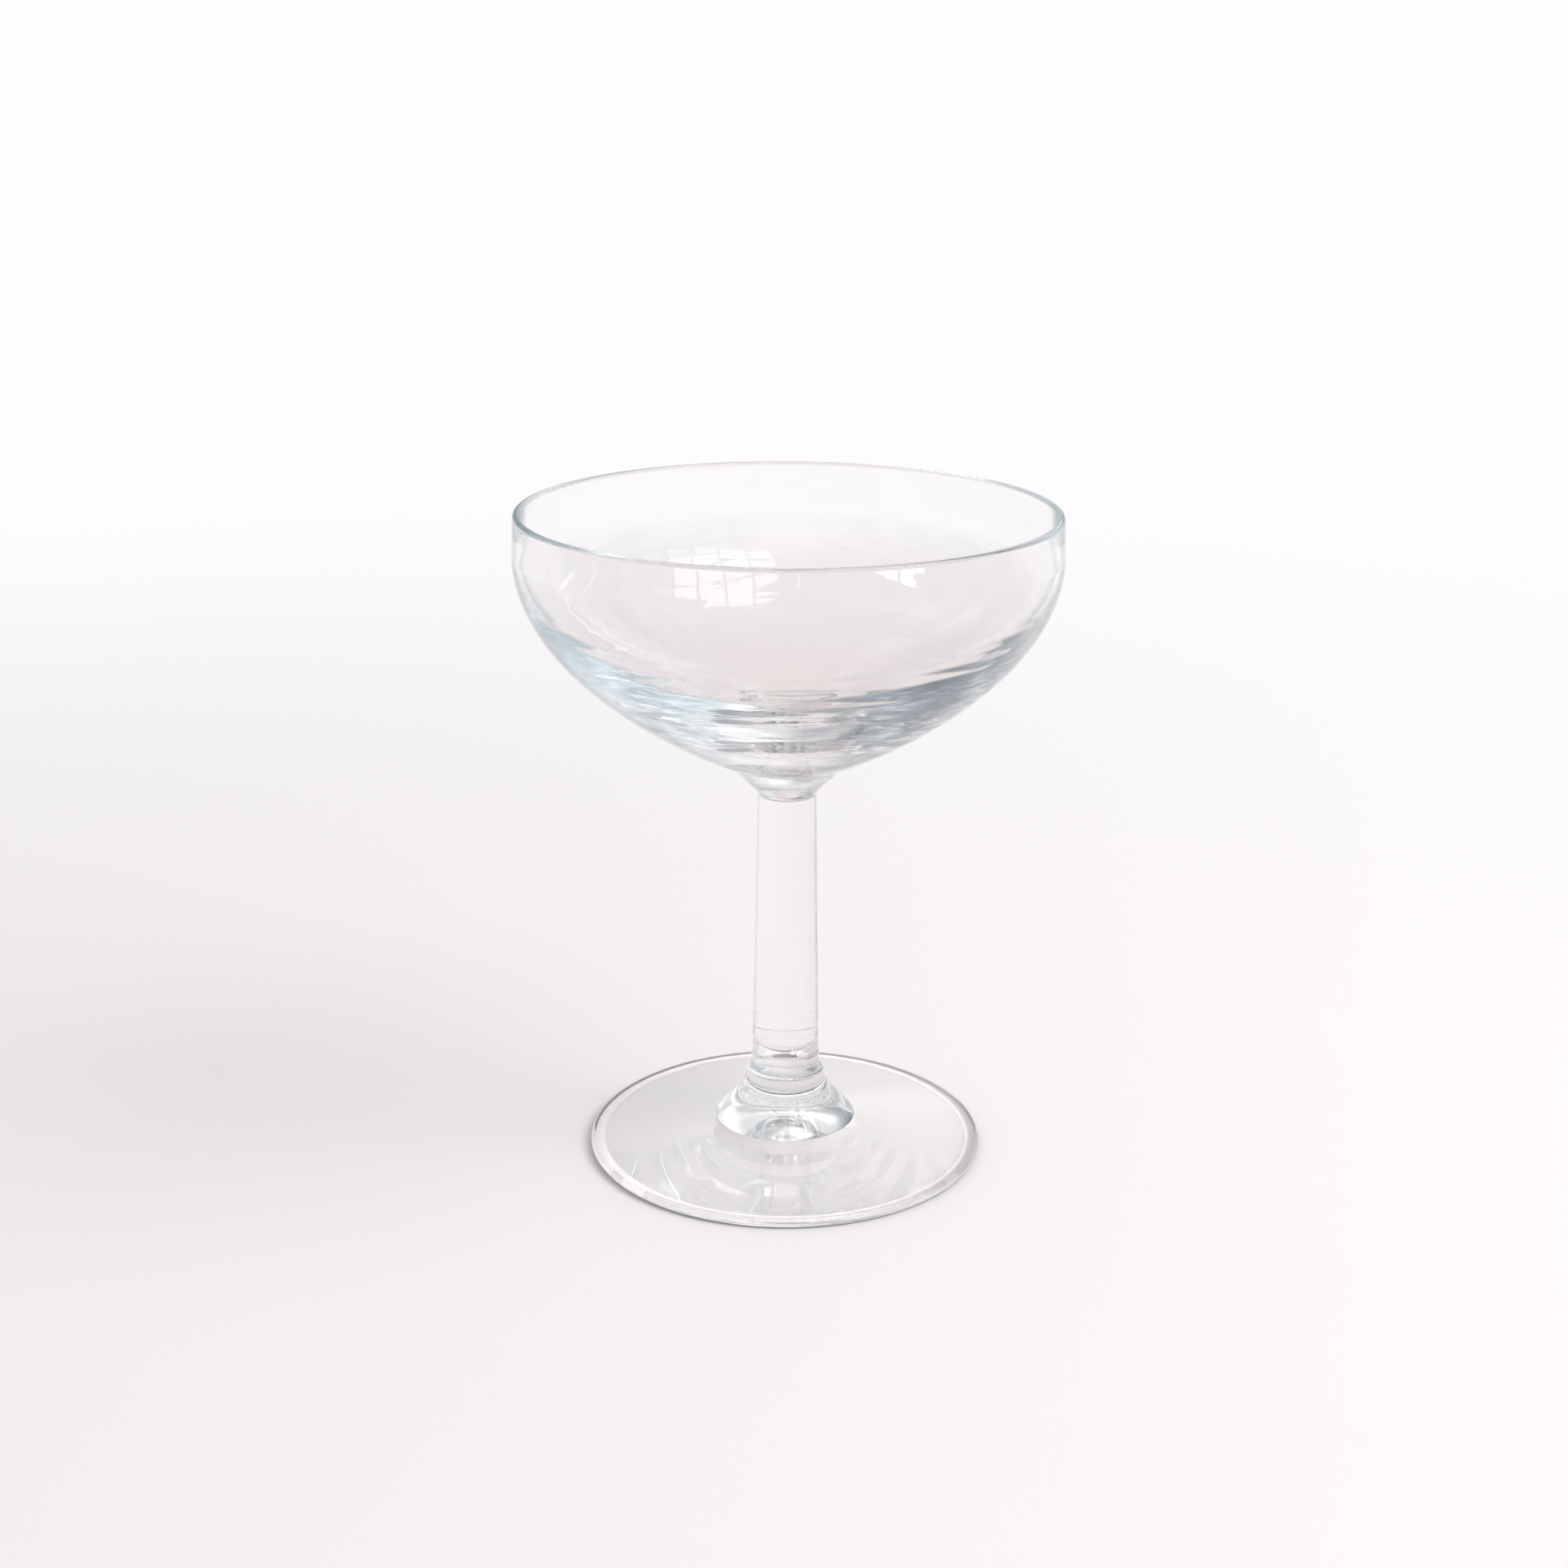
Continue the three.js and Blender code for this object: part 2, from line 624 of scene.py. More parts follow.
class Recipe(Nodes):
    """A material's node tree."""

    def __init__(self, name: str) -> None:
        """Start a material.

        Args:
            name: The material's name.
        """
        self.material = bpy.data.materials.new(name)
        self.material.use_nodes = True
        super().__init__(self.material.node_tree, "ShaderNodeOutputMaterial")

    def place(self) -> bpy.types.NodeSocket:
        """Return a socket with the place in the object's own frame, in millimetres."""
        scale = self.add("ShaderNodeVectorMath", operation="SCALE")
        scale.inputs["Scale"].default_value = 1 / MM
        self.join(self.add("ShaderNodeTexCoord").outputs["Object"], scale.inputs[0])
        return scale.outputs["Vector"]

    def facing(self) -> bpy.types.NodeSocket:
        """Return a socket with 1 less the cosine of the angle between a ray and the surface's normal."""
        weight = self.add("ShaderNodeLayerWeight")
        weight.inputs["Blend"].default_value = 0.5
        return weight.outputs["Facing"]

    def marked(self, side: Side) -> bpy.types.NodeSocket:
        """Return a socket that is 1 on the faces that are marked as a side, and 0 on others."""
        return self.add("ShaderNodeAttribute", attribute_name=side.value).outputs["Fac"]

    def along_wall(self, place: bpy.types.NodeSocket, height: bpy.types.NodeSocket) -> bpy.types.NodeSocket:
        """Return a place whose height runs on along a wall that leans out, so marks keep their width.

        Args:
            place: The place.
            height: Its height.

        Returns:
            A socket with the place, its height being the sum of height and distance from the axis.
        """
        level = self.worked("ShaderNodeVectorMath", "MULTIPLY", place, (1.0, 1.0, 0.0)).outputs["Vector"]
        lifted = self.number("ADD", height, self.length("LENGTH", level))
        parts = self.split(place)
        whole = self.add("ShaderNodeCombineXYZ")
        for source, target in zip((parts["X"], parts["Y"], lifted), whole.inputs):
            self.join(source, target)
        return whole.outputs["Vector"]


@dataclass(frozen=True)
class SodaLime:
    """What is the same in all gathers: the body of clear soda-lime glass.

    Attributes:
        ior: Refractive index.
        depth_colour: What is left of white in thick glass, a faint blue-green.
        density: How fast thickness takes light away, per metre.
    """

    ior: float = 1.52
    depth_colour: Colour = (0.15, 0.6, 0.7)
    density: float = 0.9


@dataclass(frozen=True)
class Shade:
    """What a lamp's ray keeps at each surface that it passes.

    Attributes:
        square: Where it meets the surface squarely.
        grazing: Where it grazes the surface, which bends it away.
        edge: Where it meets a thin round edge, which throws it aside.
        edge_spread: What light from all round keeps at such an edge.
        rest: Where it passes the resting ring. Above 1, it stands for what the foot's edge gathers.
        graze: Where it starts to graze a surface and grazes it fully, as 1 less the cosine of its angle
            to the surface's normal.
        spread: What light from all round keeps.
    """

    square: float = 0.99
    grazing: float = 0.75
    edge: float = 0.5
    edge_spread: float = 0.5
    rest: float = 1.0
    graze: tuple[float, float] = (0.6, 1.0)
    spread: float = 0.97


@dataclass(frozen=True)
class PaintedShadeZone:
    """A darker tint painted over part of a gather's height: painted shade.

    Attributes:
        colour: The tint.
        start: Height at which it begins.
        full: Height at which it is full, above the start or below it.
    """

    colour: Colour
    start: float
    full: float

    def share(self, recipe: Recipe, height: bpy.types.NodeSocket) -> bpy.types.NodeSocket:
        """Return a socket with how much of the tint there is at a height."""
        if self.start < self.full:
            return recipe.ranged(height, (self.start, self.full), (0.0, 1.0), Ramp.SOFT)
        return recipe.ranged(height, (self.full, self.start), (1.0, 0.0), Ramp.SOFT)


@dataclass(frozen=True)
class PaintedShadeLine:
    """A fine darker ring painted round a gather at a crease or joint: painted shade, standing in for the dark
    line that the crease throws.

    Attributes:
        colour: The tint.
        level: Height of its middle.
        half_width: From its middle to where it has gone.
    """

    colour: Colour
    level: float
    half_width: float

    def share(self, recipe: Recipe, height: bpy.types.NodeSocket) -> bpy.types.NodeSocket:
        """Return a socket with how much of the tint there is at a height."""
        away = recipe.number("ABSOLUTE", recipe.number("SUBTRACT", height, self.level))
        return recipe.ranged(away, (0.0, self.half_width), (1.0, 0.0), Ramp.SOFT)


@dataclass(frozen=True)
class PaintedLimbShade:
    """A darker tint painted where the surface turns away from the eye: painted shade, so that thick glass
    shows a dark outline.

    Attributes:
        colour: The tint.
        graze: Where it begins and where it is full, as 1 less the cosine of the angle to the normal.
    """

    colour: Colour
    graze: tuple[float, float]

    def share(self, recipe: Recipe) -> bpy.types.NodeSocket:
        """Return a socket with how much of the tint there is."""
        return recipe.ranged(recipe.facing(), self.graze, (0.0, 1.0), Ramp.SOFT)


@dataclass(frozen=True)
class GlassFinish:
    """Finish of one gather's surface.

    Attributes:
        name: Name of the material.
        run: Which way the fine marks run.
        mark_pitch: Width of a mark, in millimetres.
        mark_length: Length of a mark, in millimetres.
        mark_depth: Depth of a mark, in millimetres.
        shade: What a lamp's ray keeps at each of the gather's surfaces.
        mark_levels: Heights between which the marks die out upwards. The usual ones are above the glass.
        film: Greatest roughness, where a thin film of handling lies.
        film_pitches: Length of a patch of the film along X, Y and Z, in millimetres.
        film_cover: From which value of its pattern the film comes in, and where it is full.
        tints: The two tints that the surface drifts between.
        drift: How far apart they lie, in millimetres.
        zones: Painted shade: darker tints of parts of its height, and fine dark rings round it.
        limb: Painted shade: a darker tint of its outline, if it has one.
        glass: The body of the glass.
    """

    name: str
    run: Run
    mark_pitch: float
    mark_length: float
    mark_depth: float
    shade: Shade = Shade()
    mark_levels: tuple[float, float] = (200.0, 210.0)
    film: float = 0.008
    film_pitches: Colour = (9.0, 9.0, 14.0)
    film_cover: tuple[float, float] = (0.45, 0.75)
    tints: tuple[Colour, Colour] = ((0.998, 0.99, 0.988), (0.99, 0.98, 0.976))
    drift: float = 30.0
    zones: tuple[PaintedShadeZone | PaintedShadeLine, ...] = ()
    limb: PaintedLimbShade | None = None
    glass: SodaLime = SodaLime()

    def pitches(self) -> Colour:
        """Return the length of the marks along X, Y and Z."""
        if self.run is Run.ROUND:
            return (self.mark_length, self.mark_length, self.mark_pitch)
        if self.run is Run.ALONG:
            return (self.mark_pitch, self.mark_pitch, self.mark_length)
        return grey(self.mark_pitch)

    def surface(self) -> bpy.types.Material:
        """Make the material of the outer surfaces.

        Returns:
            Clear glass that lets lamps light what is behind it. Its fused faces bend and dim nothing,
            since the same glass lies on their other side.
        """
        recipe = Recipe(self.name)
        place = recipe.place()
        fused = recipe.marked(Side.FUSED)
        glass = recipe.add("ShaderNodeBsdfPrincipled")
        recipe.join(recipe.ranged(fused, (0.0, 1.0), (self.glass.ior, 1.0)), glass.inputs["IOR"])
        glass.inputs["Transmission Weight"].default_value = 1.0
        height = recipe.split(place)["Z"]
        tint = recipe.blended(recipe.noise_at(place, grey(self.drift)), *self.tints)
        # Painted shade: darker bands and fine dark rings at given heights
        for zone in self.zones:
            tint = recipe.blended(zone.share(recipe, height), tint, zone.colour)
        bare = recipe.ranged(fused, (0.0, 1.0), (1.0, 0.0))
        # Painted shade: a darker outline where the surface turns from the eye
        if self.limb is not None:
            share = recipe.number("MULTIPLY", self.limb.share(recipe), bare)
            tint = recipe.blended(share, tint, self.limb.colour)
        recipe.join(tint, glass.inputs["Base Color"])
        smear = recipe.noise_at(place, self.film_pitches, detail=3.0, warp=0.6)
        film = recipe.ranged(smear, self.film_cover, (0.0, self.film))
        recipe.join(recipe.number("MULTIPLY", film, bare), glass.inputs["Roughness"])
        along = recipe.along_wall(place, height) if self.run is Run.ROUND else place
        marks = recipe.noise_at(along, self.pitches(), detail=1.5, warp=0.2)
        marked = recipe.ranged(height, self.mark_levels, (1.0, 0.0), Ramp.SOFT)
        bump = recipe.add("ShaderNodeBump")
        bump.inputs["Strength"].default_value = 1.0
        bump.inputs["Distance"].default_value = self.mark_depth * MM
        recipe.join(recipe.number("MULTIPLY", marks, marked), bump.inputs["Height"])
        recipe.join(bump.outputs["Normal"], glass.inputs["Normal"])
        recipe.join(self._lamps_pass(recipe, glass, fused), recipe.output.inputs["Surface"])
        body = recipe.add("ShaderNodeVolumeAbsorption")
        body.inputs["Color"].default_value = opaque(self.glass.depth_colour)
        body.inputs["Density"].default_value = self.glass.density
        recipe.join(body.outputs["Volume"], recipe.output.inputs["Volume"])
        return recipe.material

    def _lamps_pass(
        self, recipe: Recipe, glass: bpy.types.Node, fused: bpy.types.NodeSocket
    ) -> bpy.types.NodeSocket:
        """Let rays from lamps and pale surfaces pass straight, dimmed most where they graze the glass.

        Args:
            recipe: The material's recipe.
            glass: The glass shader.
            fused: A socket that is 1 on the fused faces.

        Returns:
            The shader to show.
        """
        graze = recipe.ranged(recipe.facing(), self.shade.graze, (0.0, 1.0), Ramp.SOFT)
        dimmed = recipe.blended(graze, grey(self.shade.square), grey(self.shade.grazing))
        dimmed = recipe.blended(recipe.marked(Side.EDGE), dimmed, grey(self.shade.edge))
        dimmed = recipe.blended(recipe.marked(Side.REST), dimmed, grey(self.shade.rest))
        for_lamps = recipe.add("ShaderNodeBsdfTransparent")
        recipe.join(recipe.blended(fused, dimmed, grey(1.0)), for_lamps.inputs["Color"])
        for_room = recipe.add("ShaderNodeBsdfTransparent")
        even, at_edge = grey(self.shade.spread), grey(self.shade.edge_spread)
        recipe.join(recipe.blended(recipe.marked(Side.EDGE), even, at_edge), for_room.inputs["Color"])
        shown = recipe.chosen(("Is Shadow Ray",), glass.outputs["BSDF"], for_lamps.outputs["BSDF"])
        return recipe.chosen(("Is Diffuse Ray",), shown, for_room.outputs["BSDF"])


@dataclass
class Gather:
    """What all gathers share: their place in the frame, and how they join it.

    Attributes:
        node: Name of the CAD node that the gather stands for.
        slot: The record's material slot. Not used.
        segments: How many steps its mesh has once round.
        recess: How far each fused face lies back from the joint, so that two never lie in one plane.
    """

    node: str
    slot: str
    segments: int = 256
    recess: float = 0.004

    def base(self) -> float:
        """Return the height of the gather's lowest face."""
        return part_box(self.node)[0].z / MM

    def top(self) -> float:
        """Return the height of the gather's highest face."""
        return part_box(self.node)[1].z / MM

    def widest(self) -> float:
        """Return the gather's largest radius."""
        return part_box(self.node)[1].x / MM

    def join_frame(self, piece: bpy.types.Object, finish: GlassFinish) -> bpy.types.Object:
        """Dress a piece and put it in its CAD node's place.

        Args:
            piece: The turned piece.
            finish: Its finish.

        Returns:
            The piece.
        """
        piece.data.materials.append(finish.surface())
        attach(piece, "root")
        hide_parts(self.node)
        LOG.info("%s: %d faces, for %s", piece.name, len(piece.data.polygons), self.node)
        return piece


@dataclass
class FootDisc(Gather):
    """Pressed foot: a shallow cone with a thin round edge, hollow underneath."""

    node: str = "foot_disc"
    slot: str = "foot_glass"
    hub_radius: float = 12.9
    edge_radius: float = 0.95
    ring_width: float = 1.8
    underside_rise: float = 0.6
    dimple_radius: float = 13.0
    dimple_cover: float = 1.3
    sag: float = 0.1
    under_steps: int = 56
    edge_steps: int = 20
    cone_steps: int = 36

    def outline(self) -> Outline:
        """Draw the foot's half outline."""
        ring_outer = self.widest() - self.edge_radius
        ring_inner = ring_outer - self.ring_width
        dimple_rise = self.top() - self.dimple_cover - self.underside_rise
        under = []
        for step in range(self.under_steps + 1):
            radius = ring_inner * step / self.under_steps
            rise = dome_height(radius, ring_inner, self.underside_rise)
            under.append(Spot(radius, rise + dome_height(radius, self.dimple_radius, dimple_rise)))
        centre = Spot(ring_outer, self.edge_radius)
        edge = arc(centre, self.edge_radius, self.edge_radius, (-90, 90), self.edge_steps)
        cone_foot, cone_head = edge[-1], Spot(self.hub_radius, self.top())
        middle = between(cone_foot, cone_head, 0.5)
        low_middle = Spot(middle.radius, middle.height - self.sag)
        cone = curve([cone_foot, low_middle, cone_head], self.cone_steps)
        outline = Outline([under[0]]).follow(under, Side.UNDERSIDE).follow(edge[:1], Side.REST)
        outline.follow(edge, Side.EDGE).follow(cone, Side.OUTSIDE)
        return outline.line(0.0, self.top() - self.recess, Side.FUSED)

    def build(self) -> bpy.types.Object:
        """Turn and dress the foot."""
        cone_head = self.top() - 0.1
        waves = (
            Ripples(Side.OUTSIDE, 0.015, 14.0, 14.0, lowest=0.6, highest=cone_head, fade=0.5, seed=3.0),
            Ripples(Side.UNDERSIDE, 0.02, 12.0, 12.0, lowest=0.15, highest=self.top(), fade=0.3, seed=8.0),
        )
        piece = TurnedGather("pressed_foot", self.outline(), self.segments, waves).build()
        shade = Shade(
            square=1.0, grazing=0.22, edge=0.0, edge_spread=0.36, rest=2.6, graze=(0.33, 0.6), spread=0.985
        )
        warm = ((0.998, 0.984, 0.974), (0.99, 0.974, 0.962))
        finish = GlassFinish("foot_glass", Run.LEVEL, 6.0, 6.0, 0.002, shade, tints=warm)
        return self.join_frame(piece, finish)


@dataclass
class FootBoss(Gather):
    """Pressed boss: a flared hub with a rounded band and a stub on it, and the seam of its mould."""

    node: str = "foot_boss"
    slot: str = "boss_glass"
    hub_height: float = 7.6
    neck_radius: float = 7.4
    band_radius: float = 7.3
    band_height: float = 2.3
    stub_foot_radius: float = 6.35
    lip_radius: float = 6.08
    lip_height: float = 0.6
    weld_radius: float = 5.98
    handles: Handles = ((0.12, 0.17), (1.0, 0.72))
    seam_angle: float = -76.7
    segments: int = 360
    hub_steps: int = 40
    band_steps: int = 12
    stub_steps: int = 10

    def outline(self) -> Outline:
        """Draw the boss's half outline."""
        band_base = self.base() + self.hub_height
        hub_foot, hub_head = Spot(self.widest(), self.base()), Spot(self.neck_radius, band_base)
        hub = flare(hub_foot, hub_head, self.handles, self.hub_steps)
        band_width = self.band_radius - self.stub_foot_radius
        band_centre = Spot(self.stub_foot_radius, band_base)
        band = arc(band_centre, band_width, self.band_height, (0, 90), self.band_steps)
        outline = Outline([Spot(0.0, self.base() + self.recess)]).follow([hub[0]], Side.FUSED)
        outline.follow(hub, Side.OUTSIDE).follow(band, Side.OUTSIDE)
        outline.line(self.lip_radius, self.top() - self.lip_height, Side.OUTSIDE, self.stub_steps)
        lip, weld = outline.spots[-1], Spot(self.weld_radius, self.top())
        outline.follow(reversed(weld_lip(weld, lip)), Side.OUTSIDE)
        return outline.line(0.0, self.top() - self.recess, Side.FUSED)

    def build(self) -> bpy.types.Object:
        """Turn and dress the boss."""
        band_base = self.base() + self.hub_height
        marks = (
            MouldSeam(Side.OUTSIDE, 0.09, 0.22, self.seam_angle, self.base() + 2.0, self.top(), fade=1.0),
            Ripples(Side.OUTSIDE, 0.03, 12.0, 12.0, self.base(), self.top(), fade=0.8, seed=5.0),
            WeldRing(Side.OUTSIDE, -0.05, 0.4, band_base),
            WeldRing(Side.OUTSIDE, -0.05, 0.4, band_base + self.band_height),
        )
        piece = TurnedGather("pressed_boss", self.outline(), self.segments, marks).build()
        # Painted shade: dark rings at the band's two creases and a greyer base of the hub
        lines = (
            PaintedShadeLine((0.72, 0.73, 0.74), band_base, 0.4),
            PaintedShadeLine((0.66, 0.67, 0.68), band_base + self.band_height, 0.45),
            PaintedShadeZone((0.91, 0.92, 0.93), self.base() + 3.0, self.base() + 1.0),
        )
        finish = GlassFinish("boss_glass", Run.LEVEL, 3.0, 3.0, 0.001, Shade(0.72, 0.2), zones=lines)
        return self.join_frame(piece, finish)


@dataclass
class Stem(Gather):
    """Drawn stem: solid, slim and slightly tapered, with a small lip at the weld."""

    node: str = "stem"
    slot: str = "stem_glass"
    weld_radius: float = 5.98
    lip_height: float = 0.6
    head_radius: float = 5.28
    side_steps: int = 60

    def outline(self) -> Outline:
        """Draw the stem's half outline."""
        outline = Outline([Spot(0.0, self.base() + self.recess)])
        weld = Spot(self.weld_radius, self.base())
        lip = Spot(self.widest(), self.base() + self.lip_height)
        outline.follow([weld], Side.FUSED).follow(weld_lip(weld, lip), Side.OUTSIDE)
        outline.line(self.head_radius, self.top(), Side.OUTSIDE, self.side_steps)
        return outline.line(0.0, self.top() - self.recess, Side.FUSED)

    def build(self) -> bpy.types.Object:
        """Turn and dress the stem."""
        waves = Ripples(Side.OUTSIDE, 0.05, 5.0, 30.0, self.base() + 0.5, self.top(), fade=2.0, seed=7.0)
        piece = TurnedGather("drawn_stem", self.outline(), self.segments, (waves,)).build()
        greyer = ((0.988, 0.978, 0.977), (0.978, 0.965, 0.963))
        # Painted shade: a darker outline where the stem turns from the eye
        limb = PaintedLimbShade((0.62, 0.63, 0.64), (0.58, 0.74))
        shade = Shade(0.72, 0.2)
        finish = GlassFinish("stem_glass", Run.ALONG, 1.6, 22.0, 0.005, shade, tints=greyer, limb=limb)
        return self.join_frame(piece, finish)


@dataclass
class Collar(Gather):
    """Flared wafer between stem and bowl."""

    node: str = "collar"
    slot: str = "collar_glass"
    stem_radius: float = 5.28
    handles: Handles = ((0.0, 0.12), (0.06, 0.14))
    flare_steps: int = 32

    def outline(self) -> Outline:
        """Draw the collar's half outline."""
        foot, head = Spot(self.stem_radius, self.base()), Spot(self.widest(), self.top())
        outline = Outline([Spot(0.0, self.base() + self.recess)]).follow([foot], Side.FUSED)
        outline.follow(flare(foot, head, self.handles, self.flare_steps), Side.OUTSIDE)
        return outline.line(0.0, self.top() - self.recess, Side.FUSED)

    def build(self) -> bpy.types.Object:
        """Turn and dress the collar."""
        seat = self.top() - 0.35
        waves = Ripples(Side.OUTSIDE, 0.02, 7.0, 6.0, self.base(), self.top(), fade=1.0, seed=2.0)
        marks = (waves, WeldRing(Side.OUTSIDE, -0.03, 0.25, seat))
        piece = TurnedGather("flared_collar", self.outline(), self.segments, marks).build()
        # Painted shade: a dark ring at the collar's foot and a fainter one at its seat
        lines = (PaintedShadeLine((0.40, 0.42, 0.42), self.base() + 0.12, 0.25), PaintedShadeLine((0.66, 0.68, 0.70), seat, 0.22))
        finish = GlassFinish("collar_glass", Run.LEVEL, 4.0, 4.0, 0.001, Shade(0.72, 0.2), zones=lines)
        return self.join_frame(piece, finish)


@dataclass
class Bowl(Gather):
    """Blown bowl: heavy in its lower half, thin at the belly, with a fire-polished rim."""

    node: str = "bowl"
    slot: str = "bowl_glass"
    seat_radius: float = 10.5
    rim_radius: float = 47.85
    belly_drop: float = 7.5
    belly_wall: float = 1.25
    rim_wall: float = 1.5
    floor_thickness: float = 5.1
    outside_powers: tuple[float, float] = (2.0, 0.93)
    inside_powers: tuple[float, float] = (2.0, 0.715)
    segments: int = 320
    outside_steps: int = 96
    inside_steps: int = 150
    rim_steps: int = 18

    def outline(self) -> Outline:
        """Draw the bowl's half outline."""
        belly = self.top() - self.belly_drop
        seat = Spot(self.seat_radius, self.base())
        outside = bowl_side(seat, Spot(self.widest(), belly), *self.outside_powers, self.outside_steps)
        floor = Spot(0.0, self.base() + self.floor_thickness)
        inner_belly = Spot(self.widest() - self.belly_wall, belly)
        inside = bowl_side(floor, inner_belly, *self.inside_powers, self.inside_steps)
        half_wall = self.rim_wall / 2
        centre = Spot(self.rim_radius - half_wall, self.top() - half_wall)
        rim = arc(centre, half_wall, half_wall, (0, 180), self.rim_steps)
        outline = Outline([Spot(0.0, self.base() + self.recess)]).follow([seat], Side.FUSED)
        outline.follow(outside, Side.OUTSIDE).follow(rim, Side.OUTSIDE)
        return outline.follow(reversed(inside), Side.INSIDE)

    def build(self) -> bpy.types.Object:
        """Turn and dress the bowl."""
        heavy_top = self.base() + 38.0
        ripples = (
            Ripples(Side.INSIDE, 0.05, 14.0, 2.6, self.base(), heavy_top, fade=12.0, seed=1.0),
            Ripples(Side.INSIDE, 0.022, 7.0, 1.3, self.base(), heavy_top, fade=12.0, seed=6.0),
            Ripples(Side.OUTSIDE, 0.035, 16.0, 2.8, self.base(), heavy_top, fade=8.0, seed=4.0),
        )
        piece = TurnedGather("blown_bowl", self.outline(), self.segments, ripples).build()
        finish = GlassFinish(
            "bowl_glass",
            Run.ROUND,
            mark_pitch=0.9,
            mark_length=8.0,
            mark_depth=0.007,
            shade=Shade(0.76, 0.3),
            # Painted shade: a darker outline where the bowl turns from the eye
            limb=PaintedLimbShade((0.36, 0.39, 0.40), (0.76, 0.87)),
            mark_levels=(self.base() + 16.0, self.base() + 34.0),
            # Painted shade: the lower bowl darker in two steps, and a darker rim
            zones=(
                PaintedShadeZone((0.95, 0.93, 0.925), self.top() - 8.0, self.top() - 22.0),
                PaintedShadeZone((0.905, 0.865, 0.86), self.top() - 22.0, self.top() - 36.0),
                PaintedShadeZone((0.84, 0.79, 0.79), self.top() - 0.7, self.top() - 0.25),
            ),
        )
        return self.join_frame(piece, finish)


@dataclass(frozen=True)
class PhotoCamera:
    """Camera solved from the photograph's ellipses and heights.

    Attributes:
        sensor_width: Width of its sensor, in millimetres.
        side_px: Side of the square image.
        focal_px: Focal length, in its pixels.
        place: Where the camera stands.
        pitch: How far it looks down, in degrees.
        roll: How far it is turned about its own axis, in degrees.
    """

    sensor_width: float = 36.0
    side_px: int = 1932
    focal_px: float = 2971.707
    place: Colour = (-0.56, -413.3893, 201.5795)
    pitch: float = 17.66928
    roll: float = 0.321

    def build(self) -> None:
        """Make the camera and look through it."""
        lens = bpy.data.cameras.new("photo_camera")
        lens.sensor_width = self.sensor_width
        lens.lens = self.sensor_width * self.focal_px / self.side_px
        camera = bpy.data.objects.new("photo_camera", lens)
        tilt = Matrix.Rotation(math.radians(90 - self.pitch), 4, "X")
        aim = tilt @ Matrix.Rotation(math.radians(self.roll), 4, "Z")
        camera.matrix_world = Matrix.Translation(Vector(self.place) * MM) @ aim
        bpy.context.scene.collection.objects.link(camera)
        bpy.context.scene.camera = camera


def heading(azimuth: float, elevation: float) -> Vector:
    """Return a direction, from degrees from the camera's side towards the right and above the horizon."""
    turn, rise = math.radians(azimuth), math.radians(elevation)
    return Vector((math.sin(turn) * math.cos(rise), -math.cos(turn) * math.cos(rise), math.sin(rise)))


class Role(Enum):
    """What a window does: light the table, show as a mirror image, or show through the glass as well."""

    LIGHTS = "lights"
    MIRRORED = "mirrored"
    SHOWS = "shows"


@dataclass(frozen=True)
class WindowLamp:
    """A window: a grid of lit panes, which either light the table softly or show in the glass.

    Attributes:
        name: Name of its panes.
        role: What it does.
        azimuth: Direction of its centre, in degrees from the camera's side towards the right.
        elevation: Height of its centre above the horizon, in degrees.
        width: Width of the whole window, in millimetres.
        height: Height of the whole window, in millimetres.
        panes: How bright each pane is, in rows from the lowest up. 1 is white.
        bar: Width of the bars between panes, in millimetres.
        colour: Colour of its light.
        roll: How far it is turned in its own plane, in degrees.
        distance: From the glass to its centre, in millimetres.
        target: The point that it faces.
    """

    name: str
    role: Role
    azimuth: float
    elevation: float
    width: float
    height: float
    panes: tuple[tuple[float, ...], ...]
    bar: float = 0.0
    colour: Colour = (1.0, 1.0, 1.0)
    roll: float = 0.0
    distance: float = 1500.0
    target: Colour = (0.0, 0.0, 60.0)

    def build(self) -> None:
        """Make one lamp for each pane."""
        away = heading(self.azimuth, self.elevation)
        centre = Vector(self.target) + away * self.distance
        facing = (-away).to_track_quat("-Z", "Y") @ Quaternion((0.0, 0.0, 1.0), math.radians(self.roll))
        rows, columns = len(self.panes), len(self.panes[0])
        pane_width = (self.width - self.bar * (columns - 1)) / columns
        pane_height = (self.height - self.bar * (rows - 1)) / rows
        for row, panes in enumerate(self.panes):
            for column, radiance in enumerate(panes):
                lamp = bpy.data.lights.new(f"{self.name}_{column}_{row}", "AREA")
                lamp.shape = "RECTANGLE"
                lamp.size, lamp.size_y = pane_width * MM, pane_height * MM
                lamp.energy = radiance * math.pi * lamp.size * lamp.size_y
                lamp.color = self.colour
                across = (column - (columns - 1) / 2) * (pane_width + self.bar)
                up = (row - (rows - 1) / 2) * (pane_height + self.bar)
                pane = bpy.data.objects.new(lamp.name, lamp)
                pane.rotation_mode = "QUATERNION"
                pane.rotation_quaternion = facing
                pane.location = (centre + facing @ Vector((across, up, 0.0))) * MM
                pane.visible_diffuse = self.role is Role.LIGHTS
                pane.visible_glossy = self.role is not Role.LIGHTS
                pane.visible_transmission = self.role is Role.SHOWS
                bpy.context.scene.collection.objects.link(pane)
        LOG.info("%s: %d panes", self.name, columns * rows)


@dataclass(frozen=True)
class Patch:
    """Soft round patch of the surroundings.

    Attributes:
        azimuth: Direction of its middle, in degrees from the camera's side towards the right.
        elevation: Height of its middle above the horizon, in degrees.
        core: How far from its middle it is full, in degrees.
        reach: How far from its middle it ends, in degrees.
        colour: Its colour. Above 1 it is brighter than white.
    """

    azimuth: float
    elevation: float
    core: float
    reach: float
    colour: Colour


